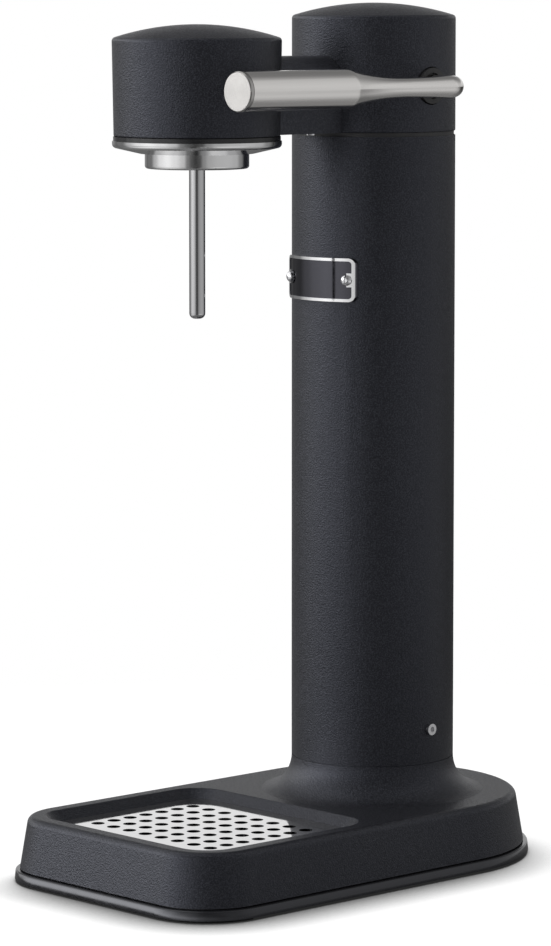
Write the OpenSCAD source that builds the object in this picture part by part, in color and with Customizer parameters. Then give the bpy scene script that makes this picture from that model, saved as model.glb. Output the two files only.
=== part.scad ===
// Counter-top sparkling water maker: a column on a broad cast base, a domed cap with a side lever,
// and a bridge that carries the domed head with its steel ring, bottle collar and nozzle.
// Millimetres, +Z up, origin on the counter under the middle of the footprint, front towards -Y.

/* [Overall size] */
// Width of the base at its widest
base_width = 153; // [148:1:162]
// Length of the base from the front edge to the back
base_depth = 258; // [252:1:270]
// Height of the top of the column cap above the counter
overall_height = 414; // [370:1:450]
// Distance from the column axis forward to the head axis
head_reach = 115; // [110:1:120]

/* [Base] */
// Thickness of the rubber feet
foot_thickness = 1.2; // [0.8:0.1:2]
// Height of the rim of the bottom plate above the counter
rim_top = 5.8; // [5:0.1:7]
// Height of the shadow gap between the rim and the cast shell
shadow_gap = 0.6; // [0.4:0.1:1]
// Step from the rim of the bottom plate in to the wall of the shell
rim_ledge = 2.5; // [1.5:0.1:3.2]
// Lean of the rim from upright in degrees
rim_lean = 6; // [2:0.5:9]
// Height of the flat deck of the base above the counter
deck_height = 31; // [29:0.5:34]
// Lean of the cast wall from upright in degrees
wall_lean = 9.5; // [6:0.5:11]
// Radius of the front corners seen from above
front_corner = 33; // [28:1:38]
// Rounding of the upper edge of the cast wall
edge_round = 3.5; // [2:0.1:4]
// Thickness of the cast wall
shell_wall = 3.5; // [3:0.1:4]
// Radius of the hollow flare from the deck up to the column
flare_radius = 17; // [13:0.5:19]

/* [Drip grille] */
// Width of the deck left round the recess
recess_rim = 15.3; // [14.5:0.1:18]
// Corner radius of the recess at the deck
recess_corner = 16; // [13:1:20]
// Rounding of the lip of the recess
recess_lip = 1.6; // [1:0.1:2]
// Distance by which the recess narrows from the deck down to the grille
recess_run = 5.6; // [4:0.1:6]
// Depth of the grille below the deck
grille_sink = 4.2; // [4:0.1:6]
// Thickness of the grille plate
grille_thickness = 1.2; // [0.8:0.1:2]
// Diameter of the grille holes
hole_diameter = 6.4; // [4:0.1:7.4]
// Holes across the grille
hole_columns = 8; // [5:1:8]
// Holes from the front to the back of the grille
hole_rows = 7; // [4:1:7]
// Spacing of the holes across the grille
hole_pitch_across = 11.3; // [9:0.1:11.8]
// Spacing of the holes from the front to the back
hole_pitch_along = 10.1; // [9:0.1:10.6]
// Depth of the drip well under the grille
well_depth = 12; // [8:0.5:13]

/* [Column] */
// Outside diameter of the column, the cap and the head
column_diameter = 79; // [77:0.5:81]
// Wall of the column tube
tube_wall = 1.5; // [1.2:0.1:2]
// Height of the bare metal seam under the cap
seam_height = 1.9; // [1.2:0.1:2.4]
// Height of the side screws above the counter
side_screw_height = 64.8; // [60:0.1:70]
// Head diameter of the side screws
side_screw_head = 5.5; // [4.6:0.1:6.5]

/* [Nameplate] */
// Half of the angle that the nameplate spans round the column
nameplate_half_angle = 33.3; // [32:0.1:38]
// Height of the nameplate
nameplate_height = 20.8; // [18:0.1:24]
// Distance from the underside of the cap down to the middle of the nameplate
nameplate_drop = 69.9; // [50:0.1:90]
// Thickness of the nameplate at its border
nameplate_thickness = 1.9; // [1.2:0.1:2.2]
// Width of the raised border of the nameplate
nameplate_border = 1.4; // [1:0.1:2]
// Angle from the front to each nameplate screw
nameplate_screw_angle = 27.6; // [25:0.1:28]

/* [Cap and head] */
// Height of the cap from its underside to the top of its dome
cap_height = 61.5; // [58:0.5:66]
// Radius of the dome over the column
cap_dome = 130; // [110:1:160]
// Radius of the dome over the head
head_dome = 125; // [110:1:160]
// Height of the head from its underside to the top of its dome
head_height = 51.9; // [49:0.1:56]
// Draft of the head, by which its radius narrows from the dome down to the underside
head_draft = 0.7; // [0.1:0.1:1]
// Rounding at the edge of the domes
dome_edge = 2; // [1:0.1:3]
// Wall of the cap, the head shell and the bridge
cover_wall = 2.2; // [1.8:0.1:2.6]
// Width of the bridge
bridge_width = 31; // [30:0.5:36]
// Height of the bridge
bridge_height = 36.5; // [33:0.5:40]
// Rounding along the upper edges of the bridge
bridge_round = 10.5; // [6:0.5:12]

/* [Bottle fitting] */
// Thickness of the black gasket band between the head and the polished ring
gasket_thickness = 2.1; // [1.4:0.1:2.6]
// Height of the polished ring wall under the gasket
ring_height = 2.9; // [2.4:0.1:4]
// Drop of the conical underside of the ring
ring_cone_drop = 2.9; // [2:0.1:3.5]
// Outside diameter of the bottle collar
collar_diameter = 48.6; // [46:0.2:51]
// Inside diameter of the bottle collar
collar_bore = 40; // [36:0.5:42]
// Distance from the head underside down to the end of the collar
collar_drop = 14.9; // [13:0.1:18]
// Diameter of the nozzle tube
nozzle_diameter = 7.5; // [6:0.1:8.5]
// Distance from the head underside down to the nozzle tip
nozzle_drop = 85; // [60:1:110]

/* [Lever] */
// Height of the lever hinge above the head underside
hinge_rise = 22.2; // [21.5:0.1:26]
// Distance from the column axis out to the lever grip
lever_offset = 58; // [56:0.5:64]
// Distance from the hinge forward to the end of the grip
lever_length = 143; // [130:1:150]
// Diameter of the grip
grip_diameter = 18.4; // [16:0.2:21]
// Diameter of the narrow waist of the lever
waist_diameter = 9.3; // [8:0.1:10]
// Diameter of the lever at the hinge end
root_diameter = 10.4; // [10.2:0.1:11.5]
// Distance from the hinge forward to the waist
waist_place = 36; // [30:1:44]
// Radius of the hollow sweep from the waist up to the grip
sweep_radius = 167; // [140:1:190]
// Diameter of the round hub in the side of the cap
hub_diameter = 17.2; // [15:0.2:19]

/* [Hidden] */
$fn = 96;

// Clearances: a close fit between fixed pieces, a running fit, a free gap, and faces that touch
fit = 0.05;
run = 0.06;
free = 0.3;
touch = 0.02;
// Small extra length for cuts that leave a solid
over = 1;
// Angle at which hollow roundings run out into a flat face
run_out = 8;

// Main places
half_width = base_width / 2;
front_y = -base_depth / 2;
column_y = base_depth / 2 - half_width;
head_y = column_y - head_reach;
column_r = column_diameter / 2;
tube_inner = column_r - tube_wall;
head_underside = overall_height - cap_height;
nameplate_middle = head_underside - nameplate_drop;
shell_bottom = rim_top + shadow_gap;
column_foot = deck_height + flare_radius;
seam_bottom = head_underside - seam_height;
hinge_z = head_underside + hinge_rise;

// Base
band = 20;
flare_foot = column_r + flare_radius;
flare_centre = column_foot - flare_radius * (1 - cos(run_out));
socket_outer = tube_inner - fit;
socket_wall = 4.6;
socket_inner = socket_outer - socket_wall;
cylinder_gap = 3;
cylinder_r = socket_inner - cylinder_gap;
cavity_top = deck_height - shell_wall;
flange_thickness = 3;
flange_reach = 8;
socket_height = side_screw_height + 15;
side_screw_rise = 1.8;
side_screw_key = 1.5;
side_screw_reach = 5;
deck_behind_recess = 3.2;
recess_front = front_y + recess_rim;
recess_back = column_y - flare_foot - deck_behind_recess;
recess_length = recess_back - recess_front;
recess_y = (recess_front + recess_back) / 2;
tray_width = base_width - 2 * (recess_rim + recess_run);
tray_length = recess_length - 2 * recess_run;
tray_corner = recess_corner - recess_run;
grille_top = deck_height - grille_sink;
grille_ledge = grille_top - grille_thickness;
ledge_width = 6;
well_floor = grille_ledge - well_depth;
well_wall = 2.5;
well_corner = 2;
well_width = tray_width - 2 * ledge_width;
well_length = tray_length - 2 * ledge_width;
tray_wall = 4.5;
recess_slope = atan2(grille_sink, recess_run);
lip_z = deck_height - recess_lip * cos(run_out);
lip_foot = recess_run * (lip_z - grille_top) / grille_sink;
lip_reach = lip_foot + recess_lip * cos(run_out) / sin(recess_slope);
rim_flat = 0.6;
rim_thickness = 2;
rim_reach = lip_reach + rim_flat;
rim_seat = deck_height - rim_thickness;
curb_wall = 2.5;
curb_depth = 3;
foot_inset = 2.2;
foot_width = 6.8;
rear_foot_start = 0.55;
rim_round = 0.8;
plateau_step = 2;
screw_r = 1.6;
screw_boss = 4.6;
screw_head = 4;
screw_sink = 3.2;
screw_length = 12;
screw_floor = 0.8;
rear_screw_inset = 26.5;
rear_screw_back = 30;
rear_screw_x = half_width - rear_screw_inset;
rear_screw_y = column_y + rear_screw_back;
front_screw_x = half_width - front_corner - 1.5;
front_screw_y = front_y + front_corner + 1;
base_screw_places = [[-rear_screw_x, rear_screw_y], [rear_screw_x, rear_screw_y],
    [-front_screw_x, front_screw_y], [front_screw_x, front_screw_y]];
front_screw_length = well_floor - screw_floor - foot_thickness - screw_sink;
base_screw_lengths = [screw_length, screw_length, front_screw_length, front_screw_length];
rear_screws = [0, 1];
front_screws = [2, 3];

// Nameplate
nameplate_corner = 3;
nameplate_sink = 0.4;
nameplate_tab = 3.3;
nameplate_screw_r = 1;
nameplate_screw_head = 2.6;
nameplate_screw_rise = 2.2;
nameplate_screw_length = 5;

// Column and gas supply
block_height = 29;
block_r = column_r - 14.5;
block_bottom = seam_bottom - block_height;
block_boss = 9;
boss_top = head_underside + 8;
port_z = head_underside + 3.7;
valve_r = 10.4;
valve_depth = 18;
valve_top = block_bottom + valve_depth;
seal_thickness = 1.8;
valve_bottom = block_bottom - 1;
cylinder_wall = 2.5;
cylinder_foot = 8;
cylinder_neck = 14;
cylinder_mouth = 7;
neck_length = 4;
pin_r = 1.5;
pin_top = valve_top + 0.5;
pin_length = 13;
stroke = 2.3;
plunger_r = 4;
plunger_tip = 2.5;
tip_length = 6;
plunger_seat = 1.7;
seal_width = 2;
gland_height = 0.8;
spring_r = 6.4;
spring_wire = 1.4;
plunger_head_r = 7;
cam_r = 5;
cam_throw = 3.5;
cam_width = 10;
cam_pin_r = 1;
clip_r = 6;
clip_thickness = 1.2;
shaft_stub = 4;
plunger_top = hinge_z - cam_r - free;
plunger_head = 2;
shaft_r = 3.5;
ear_thickness = 6;
ear_outer = column_r - 9.5;
ear_inner = ear_outer - ear_thickness;
ear_width = 20;
bush_r = 5;
bush_flange = 7;
collar_step = 1;

// Bridge, head and chassis
rail_outer = 12;
rail_wall = 3;
rail_inner = rail_outer - rail_wall;
rail_floor = head_underside + 2.1;
rail_rise = 19.5;
rail_top = head_underside + rail_rise;
rail_start = -15;
rail_end = 18 - head_reach;
rail_foot = 18;
rail_mouth = 10;
floor_thickness = 1.3;
spigot_drop = 16;
spigot_wall = 4;
seam_step = 0.7;
head_plate = 4.5;
ring_top = head_underside - gasket_thickness;
ring_wall_bottom = ring_top - ring_height;
cone_bottom = ring_wall_bottom - ring_cone_drop;
collar_r = collar_diameter / 2;
cone_inner = collar_r + 2.7;
collar_top = ring_top - 2;
collar_round = 1.4;
collar_chamfer = 2;
ring_round = 2;
ring_hole = 4;
nozzle_r = nozzle_diameter / 2;
nozzle_bottom = head_underside - nozzle_drop;
nozzle_round = 2.6;
nozzle_bore = 1.5;
nozzle_jet = 0.6;
jet_length = 5;
block_reach = 11;
nozzle_block_top = head_underside + 14;
block_bore = 1.2;
pipe_r = 2;
pipe_wall = 1;
pipe_entry = 2.5;
nut_flats = 6.5;
nut_length = 5;
relief_top = nozzle_block_top + 18;
relief_r = 8;
relief_bore = 5;
relief_vent = 2;
relief_seat = nozzle_block_top + 4;
relief_cover = relief_top - 2;
poppet_r = 4.4;
poppet_height = 3;
poppet_stem = 1.4;
stem_length = 3;
relief_spring_r = 4;
relief_spring_wire = 1.6;
head_screw_circle = column_r - 9.5;
head_screw_head = 2.75;
head_screw_rise = 2.5;
head_screw_key = 1.3;
gasket_inset = 0.5;
gasket_width = 5;
bridge_gap = 0.12;
bridge_screw_x = 6;
bridge_screw_h = column_r + 8;
bridge_screw_head = 2.2;
bridge_screw_rise = 1;
bridge_screw_r = 1.05;
bridge_screw_key = 0.8;
cover_round = 0.8;
foot_groove = 0.5;

// Lever
grip_r = grip_diameter / 2;
root_r = root_diameter / 2;
waist_r = waist_diameter / 2;
hub_r = hub_diameter / 2;
hub_face = column_r + 0.9;
hub_gap = 0.5;
hub_sink = 1.6;
hub_bore = root_r + 1;
lever_start = hub_face - hub_sink + free;
bend_radius = 8;
cap_thickness = 2.2;
end_edge = 0.5;
end_groove = 0.25;
end_stud = 4;
stud_length = 9;
shoulder_round = grip_r * 0.95;
sweep_centre = waist_r + sweep_radius;
blend_run = sqrt(pow(sweep_radius + shoulder_round, 2) - pow(sweep_centre - grip_r + shoulder_round, 2));
blend_place = waist_place + blend_run * sweep_radius / (sweep_radius + shoulder_round);
shoulder_place = waist_place + blend_run;

module at_column() {
    translate([0, column_y, 0]) children();
}

module at_head() {
    translate([0, head_y, 0]) children();
}

// Turns a shape drawn along +Z so that it points along +X from the hinge
module along_hinge(start) {
    translate([start, column_y, hinge_z]) rotate([0, 90, 0]) children();
}

module tube(outer, inner, low, high) {
    translate([0, 0, low]) difference() {
        cylinder(r = outer, h = high - low);
        translate([0, 0, -over]) cylinder(r = inner, h = high - low + 2 * over);
    }
}

module rod(radius, low, high) {
    translate([0, 0, low]) cylinder(r = radius, h = high - low);
}

module rounded_rectangle(width, length, corner) {
    square([width, length - 2 * corner], center = true);
    square([width - 2 * corner, length], center = true);
    for (x = [-1, 1], y = [-1, 1])
        translate([x * (width / 2 - corner), y * (length / 2 - corner)]) circle(r = corner);
}

// Footprint of the base, drawn in by a distance
module outline(inset) {
    wide = half_width - inset;
    translate([0, column_y]) circle(r = wide);
    translate([-wide, front_y + front_corner]) square([2 * wide, column_y - front_y - front_corner]);
    translate([front_corner - half_width, front_y + inset])
        square([2 * (half_width - front_corner), front_corner - inset + over]);
    for (side = [-1, 1])
        translate([side * (half_width - front_corner), front_y + front_corner])
            circle(r = front_corner - inset);
}

// Section of a leaning wall with a rounded upper edge, standing at a distance from its sweep axis
module wall_section(reach, inset, low, high, lean, rounding) {
    round_z = high - rounding;
    round_in = inset + (round_z - low) * tan(lean) + rounding / cos(lean);
    polygon([[reach - inset, low],
        [reach - round_in + rounding * cos(lean), round_z + rounding * sin(lean)],
        [reach - round_in, round_z],
        [reach - round_in, high],
        [reach - band, high],
        [reach - band, low]]);
    translate([reach - round_in, round_z]) circle(r = rounding);
}

// Block on the footprint whose wall leans in: the section is swept round the outline
module leaning_block(inset, low, high, lean, rounding) {
    straight = column_y - front_y - front_corner;
    at_column() rotate_extrude(angle = 180) wall_section(half_width, inset, low, high, lean, rounding);
    for (side = [0, 1]) mirror([side, 0, 0]) {
        at_column() rotate([90, 0, 0]) linear_extrude(straight)
            wall_section(half_width, inset, low, high, lean, rounding);
        translate([half_width - front_corner, front_y + front_corner, 0]) rotate([0, 0, -90])
            rotate_extrude(angle = 90) wall_section(front_corner, inset, low, high, lean, rounding);
    }
    translate([half_width - front_corner, front_y + front_corner, 0]) rotate([0, 0, -90]) rotate([90, 0, 0])
        linear_extrude(2 * (half_width - front_corner))
            wall_section(front_corner, inset, low, high, lean, rounding);
    translate([0, 0, low]) linear_extrude(high - low) outline(band - over);
}

// Section of the leaning wall of the recess and its rounded lip, outward from the edge of the tray
module lean_section(reach) {
    translate([reach, 0]) difference() {
        polygon([[-over, grille_top],
            [0, grille_top],
            [lip_reach - recess_lip * cos(run_out) * sin(recess_slope),
                lip_z + recess_lip * cos(run_out) * cos(recess_slope)],
            [lip_reach, lip_z],
            [lip_reach, deck_height + over],
            [-over, deck_height + over]]);
        translate([lip_reach, lip_z]) circle(r = recess_lip);
    }
}

// The recess of the tray: the seat of the grille, and the leaning wall swept round it
module recess_cut() {
    across = tray_width / 2 - tray_corner;
    along = tray_length / 2 - tray_corner;
    translate([0, recess_y, 0]) {
        translate([0, 0, grille_ledge]) linear_extrude(deck_height + over - grille_ledge) tray_outline(0);
        for (x = [0, 1], y = [0, 1]) mirror([x, 0, 0]) mirror([0, y, 0])
            translate([across, along, 0]) rotate_extrude(angle = 90) lean_section(tray_corner);
        for (x = [0, 1]) mirror([x, 0, 0]) translate([0, along, 0]) rotate([90, 0, 0])
            linear_extrude(2 * along) lean_section(tray_width / 2);
        for (y = [0, 1]) mirror([0, y, 0]) translate([-across, 0, 0]) rotate([0, 0, 90]) rotate([90, 0, 0])
            linear_extrude(2 * across) lean_section(tray_length / 2);
    }
}

// Outline of the seat of the grille, grown by a wall
module tray_outline(grow) {
    rounded_rectangle(tray_width + 2 * grow, tray_length + 2 * grow, tray_corner + grow);
}

// Outline of the drip well, grown by a wall
module well_outline(grow) {
    rounded_rectangle(well_width + 2 * grow, well_length + 2 * grow, well_corner + grow);
}

module base_screw_holes(screws) {
    for (index = screws) translate(base_screw_places[index])
        rod(screw_r + fit, 0, foot_thickness + screw_sink + base_screw_lengths[index] + free);
}

module screw(head_r, head_height, shank_r, length, key) {
    difference() {
        union() {
            cylinder(r = head_r, h = head_height);
            translate([0, 0, -length]) cylinder(r = shank_r, h = length + over / 2);
        }
        translate([0, 0, head_height / 3]) cylinder(r = key, h = head_height, $fn = 6);
    }
}

module foot(low_y, high_y) {
    linear_extrude(foot_thickness) intersection() {
        difference() {
            outline(foot_inset);
            outline(foot_inset + foot_width);
        }
        translate([-base_width, low_y]) square([2 * base_width, high_y - low_y]);
    }
}

module front_foot() {
    color("#1b1b1c") foot(front_y - over, front_y + front_corner);
}

module rear_foot() {
    color("#1b1b1c") foot(column_y + half_width * rear_foot_start, base_depth);
}

module base_plate() {
    color("#17181a") difference() {
        union() {
            leaning_block(0, foot_thickness, rim_top, rim_lean, rim_round);
            linear_extrude(shell_bottom) outline(rim_ledge + plateau_step);
        }
        translate([0, 0, -over]) linear_extrude(foot_thickness + over) square(2 * base_depth, center = true);
        at_column() rod(socket_inner, -over, shell_bottom + over);
        for (place = base_screw_places) translate(place) {
            rod(screw_head + free, 0, foot_thickness + screw_sink);
            rod(screw_r + fit, 0, shell_bottom + over);
        }
    }
}

module base_screw(index) {
    color("#8d9094") translate(base_screw_places[index]) translate([0, 0, foot_thickness + screw_sink])
        rotate([180, 0, 0])
            screw(screw_head, screw_sink - free, screw_r, base_screw_lengths[index], screw_r);
}

module base_shell() {
    color("#232427") difference() {
        union() {
            leaning_block(rim_ledge, shell_bottom, deck_height, wall_lean, edge_round);
            at_column() rotate_extrude() difference() {
                translate([socket_outer + fit, cavity_top])
                    square([flare_foot - socket_outer - fit, column_foot - cavity_top]);
                translate([flare_foot, flare_centre]) circle(r = flare_radius);
            }
        }
        difference() {
            leaning_block(rim_ledge + shell_wall, shell_bottom - over, cavity_top, wall_lean, over);
            translate([0, recess_y, rim_seat - curb_depth]) linear_extrude(deck_height)
                tray_outline(rim_reach + curb_wall);
            for (index = rear_screws) translate(base_screw_places[index])
                rod(screw_boss, shell_bottom, deck_height);
        }
        translate([0, recess_y, shell_bottom]) linear_extrude(deck_height) tray_outline(tray_wall + free);
        translate([0, recess_y, rim_seat]) linear_extrude(deck_height) tray_outline(rim_reach + touch);
        at_column() rod(socket_outer + fit, shell_bottom, column_foot + over);
        base_screw_holes(rear_screws);
    }
}

module drip_tray() {
    color("#232427") difference() {
        union() {
            translate([0, recess_y, rim_seat]) linear_extrude(rim_thickness) tray_outline(rim_reach);
            translate([0, recess_y, grille_ledge - well_wall])
                linear_extrude(rim_seat + over - grille_ledge + well_wall) tray_outline(tray_wall);
            translate([0, recess_y, well_floor - well_wall]) linear_extrude(well_depth)
                well_outline(well_wall);
            for (index = front_screws) translate(base_screw_places[index])
                rod(screw_boss, shell_bottom, well_floor);
        }
        recess_cut();
        translate([0, recess_y, well_floor]) linear_extrude(deck_height) well_outline(0);
        base_screw_holes(front_screws);
    }
}

module drip_grille() {
    color("#c9ccd0") translate([0, recess_y, grille_ledge]) linear_extrude(grille_thickness) difference() {
        tray_outline(-free);
        for (i = [0 : hole_columns - 1], j = [0 : hole_rows - 1])
            translate([(i - (hole_columns - 1) / 2) * hole_pitch_across,
                (j - (hole_rows - 1) / 2) * hole_pitch_along]) circle(d = hole_diameter, $fn = 32);
    }
}

module side_screw_holes(radius) {
    translate([0, 0, side_screw_height]) rotate([0, 90, 0])
        cylinder(r = radius, h = 2 * column_diameter, center = true);
}

module column_socket() {
    color("#9a9da1") at_column() difference() {
        union() {
            tube(socket_outer, socket_inner, cavity_top - flange_thickness, socket_height);
            tube(socket_outer + flange_reach, socket_inner, cavity_top - flange_thickness, cavity_top);
        }
        side_screw_holes(screw_r + fit);
    }
}

module nameplate_screw_place(side) {
    rotate([0, 0, side * nameplate_screw_angle])
        translate([0, -column_r - nameplate_thickness - touch, nameplate_middle])
            rotate([90, 0, 0]) children();
}

module column_tube() {
    color("#232427") at_column() difference() {
        tube(column_r, tube_inner, column_foot, seam_bottom);
        tube(column_r + over, column_r - foot_groove, column_foot - over, column_foot + foot_groove);
        side_screw_holes(screw_r + fit);
        for (side = [-1, 1]) nameplate_screw_place(side)
            cylinder(r = nameplate_screw_r + fit, h = 2 * nameplate_screw_length, center = true);
    }
}

module column_screw(side) {
    color("#c3c6ca") at_column() translate([side * (column_r + touch), 0, side_screw_height])
        rotate([0, side * 90, 0]) screw(side_screw_head / 2, side_screw_rise, screw_r,
            tube_wall + side_screw_reach, side_screw_key);
}

module nameplate() {
    sweep = 2 * (column_r + nameplate_thickness) * sin(nameplate_half_angle);
    color("#b9bcc0") at_column() difference() {
        intersection() {
            tube(column_r + nameplate_thickness, column_r + fit, nameplate_middle - nameplate_height,
                nameplate_middle + nameplate_height);
            translate([0, 0, nameplate_middle]) rotate([90, 0, 0]) linear_extrude(column_diameter)
                rounded_rectangle(sweep, nameplate_height, nameplate_corner);
        }
        intersection() {
            tube(column_diameter, column_r + nameplate_thickness - nameplate_sink,
                nameplate_middle - nameplate_height, nameplate_middle + nameplate_height);
            translate([0, 0, nameplate_middle]) rotate([90, 0, 0]) linear_extrude(column_diameter)
                difference() {
                    rounded_rectangle(sweep - 2 * nameplate_border, nameplate_height - 2 * nameplate_border,
                        nameplate_corner - nameplate_border);
                    for (side = [-1, 1]) translate([side * column_r * sin(nameplate_screw_angle), 0]) {
                        circle(r = nameplate_tab);
                        translate([side * sweep / 4, 0])
                            square([sweep / 2, 2 * nameplate_tab], center = true);
                    }
                }
        }
        for (side = [-1, 1]) nameplate_screw_place(side)
            cylinder(r = nameplate_screw_r + fit, h = 2 * nameplate_screw_length, center = true);
    }
}

module nameplate_screw(side) {
    dome = 3.1;
    color("#c3c6ca") at_column() nameplate_screw_place(side) difference() {
        union() {
            rotate_extrude() intersection() {
                square([nameplate_screw_head, nameplate_screw_rise]);
                translate([0, nameplate_screw_rise - dome]) circle(r = dome);
            }
            translate([0, 0, -nameplate_screw_length])
                cylinder(r = nameplate_screw_r, h = nameplate_screw_length + over / 2);
        }
        translate([0, 0, nameplate_screw_rise / 2])
            cylinder(r = nameplate_screw_r, h = nameplate_screw_rise, $fn = 6);
    }
}

module cylinder_form(radius, low, shoulder, neck, neck_top) {
    rod(radius, low, shoulder);
    translate([0, 0, shoulder]) intersection() {
        sphere(r = radius);
        cylinder(r = radius, h = radius);
    }
    rod(neck, shoulder, neck_top);
}

module gas_cylinder() {
    shoulder = valve_bottom - cylinder_r - neck_length;
    color("#7e8286") at_column() difference() {
        cylinder_form(cylinder_r, cylinder_foot, shoulder, cylinder_neck, valve_bottom);
        cylinder_form(cylinder_r - cylinder_wall, cylinder_foot + cylinder_wall, shoulder, cylinder_mouth,
            valve_bottom + over);
    }
}

module cylinder_valve() {
    color("#b08d3f") at_column() difference() {
        rod(valve_r, valve_bottom, valve_top);
        rod(pin_r + run, pin_top - pin_length - stroke - over, valve_top + over);
        rod(plunger_tip + 2 * free, valve_top - stroke - over, valve_top + over);
    }
}

module valve_pin() {
    color("#d0d2d5") at_column() rod(pin_r, pin_top - pin_length, pin_top);
}

module valve_block() {
    color("#b8923f") at_column() difference() {
        union() {
            rod(block_r, block_bottom, seam_bottom);
            rod(block_boss, seam_bottom - over, boss_top);
        }
        rod(valve_r + fit, block_bottom - over, valve_top + seal_thickness);
        rod(plunger_r + run, block_bottom, boss_top + over);
        rod(plunger_r + seal_width + fit, boss_top - plunger_seat, boss_top + over);
        translate([0, 0, port_z]) rotate([90, 0, 0]) cylinder(r = pipe_r + fit, h = block_boss + over);
    }
}

module valve_seal() {
    color("#202020") at_column() tube(valve_r, plunger_tip + 4 * free, valve_top, valve_top + seal_thickness);
}

module plunger() {
    tip_low = pin_top + free;
    color("#d5d7da") at_column() {
        rod(plunger_tip, tip_low, tip_low + tip_length);
        rod(plunger_r, tip_low + tip_length - over, plunger_top - over / 2);
        rod(plunger_head_r, plunger_top - plunger_head, plunger_top);
    }
}

module plunger_seal() {
    color("#202020") at_column()
        tube(plunger_r + seal_width, plunger_r + run, boss_top - plunger_seat, boss_top);
}

module gland_washer() {
    color("#b8923f") at_column() tube(block_boss - free, plunger_r + free, boss_top, boss_top + gland_height);
}

module plunger_spring() {
    color("#a9adb1") at_column()
        tube(spring_r, spring_r - spring_wire, boss_top + gland_height, plunger_top - plunger_head);
}

module chassis() {
    color("#a4a7ab") at_column() difference() {
        union() {
            rod(column_r - seam_step, seam_bottom, head_underside);
            tube(tube_inner - fit, tube_inner - spigot_wall, seam_bottom - spigot_drop, seam_bottom);
            for (side = [-1, 1]) translate([side * (ear_inner + ear_thickness / 2), 0, head_underside - over])
                translate([-ear_thickness / 2, -ear_width / 2, 0]) {
                    cube([ear_thickness, ear_width, hinge_rise + over]);
                    translate([0, ear_width / 2, hinge_rise + over]) rotate([0, 90, 0])
                        cylinder(r = ear_width / 2, h = ear_thickness);
                }
            translate([-rail_outer, rail_end, rail_floor])
                cube([2 * rail_outer, rail_start - rail_end, rail_top - rail_floor]);
            translate([-rail_outer, rail_start - rail_foot, head_underside - over])
                cube([2 * rail_outer, rail_foot, rail_floor - head_underside + 2 * over]);
            translate([0, -head_reach, head_underside])
                cylinder(r = column_r - cover_wall - free, h = head_plate);
        }
        translate([-rail_inner, -head_reach, head_underside])
            cube([2 * rail_inner, head_reach - rail_mouth, rail_top - rail_wall - head_underside]);
        translate([0, -head_reach, 0]) rod(block_reach + fit, ring_top, rail_top + over);
        rod(block_boss + fit, seam_bottom - over, head_underside + over);
        along_ears() cylinder(r = bush_r + fit, h = 4 * ear_outer, center = true);
        for (place = head_screw_places()) translate([0, -head_reach, 0]) translate(place)
            rod(screw_r + fit, head_underside - over, head_underside + head_plate + over);
    }
}

// Runs a shape along the hinge line in the column's own frame
module along_ears() {
    translate([0, 0, hinge_z]) rotate([0, 90, 0]) children();
}

function head_screw_places() = [for (turn = [30, 150, 270])
    [head_screw_circle * cos(turn), head_screw_circle * sin(turn)]];

module bush(side) {
    color("#c9a24a") at_column() mirror([side < 0 ? 1 : 0, 0, 0]) along_ears() difference() {
        union() {
            translate([0, 0, ear_inner]) cylinder(r = bush_r, h = ear_thickness);
            translate([0, 0, ear_inner - collar_step]) cylinder(r = bush_flange, h = collar_step);
        }
        cylinder(r = shaft_r + run, h = 2 * ear_outer);
    }
}

module hub_bush() {
    color("#1c1d1f") along_hinge(ear_outer) difference() {
        cylinder(r = hub_r, h = hub_face - ear_outer);
        translate([0, 0, -over]) cylinder(r = shaft_r + run, h = hub_face);
        translate([0, 0, hub_face - ear_outer - hub_sink]) cylinder(r = hub_bore, h = hub_sink + over);
    }
}

module lever_shaft() {
    start = ear_outer + shaft_stub;
    color("#c9ccd0") difference() {
        along_hinge(-start) cylinder(r = shaft_r, h = start + lever_offset - bend_radius);
        cam_pin_form(cam_pin_r + fit, over);
    }
}

module cam_pin_form(radius, extra) {
    along_hinge(0) rotate([90, 0, 0])
        cylinder(r = radius, h = 2 * (shaft_r + extra), center = true);
}

module cam() {
    color("#8b8e93") along_hinge(-cam_width / 2) difference() {
        union() {
            cylinder(r = cam_r - run, h = cam_width);
            translate([0, -cam_throw, 0]) cylinder(r = cam_r, h = cam_width);
        }
        translate([0, 0, -over]) cylinder(r = shaft_r + fit, h = cam_width + 2 * over);
        translate([0, 0, cam_width / 2]) rotate([90, 0, 0])
            cylinder(r = cam_pin_r + fit, h = 2 * (cam_r - over / 2), center = true);
    }
}

module cam_pin() {
    color("#d0d2d5") cam_pin_form(cam_pin_r, cam_r - shaft_r - over);
}

module shaft_clip() {
    color("#d0d2d5") along_hinge(-ear_outer - free - clip_thickness)
        tube(clip_r, shaft_r + fit, 0, clip_thickness);
}

// Outline of the lever from the bend to the end of the grip, radius across and distance up
module lever_profile(length) {
    root_sweep = (pow(waist_place - bend_radius, 2) + pow(root_r - waist_r, 2)) / (2 * (root_r - waist_r));
    difference() {
        translate([0, bend_radius]) square([root_r, waist_place - bend_radius]);
        translate([waist_r + root_sweep, waist_place]) circle(r = root_sweep, $fn = 360);
    }
    difference() {
        translate([0, waist_place]) square([grip_r, blend_place - waist_place]);
        translate([sweep_centre, waist_place]) circle(r = sweep_radius, $fn = 360);
    }
    intersection() {
        translate([0, blend_place]) square([grip_r, shoulder_place - blend_place]);
        translate([grip_r - shoulder_round, shoulder_place]) circle(r = shoulder_round);
    }
    translate([0, shoulder_place]) square([grip_r, length - cap_thickness - shoulder_place]);
}

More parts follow.
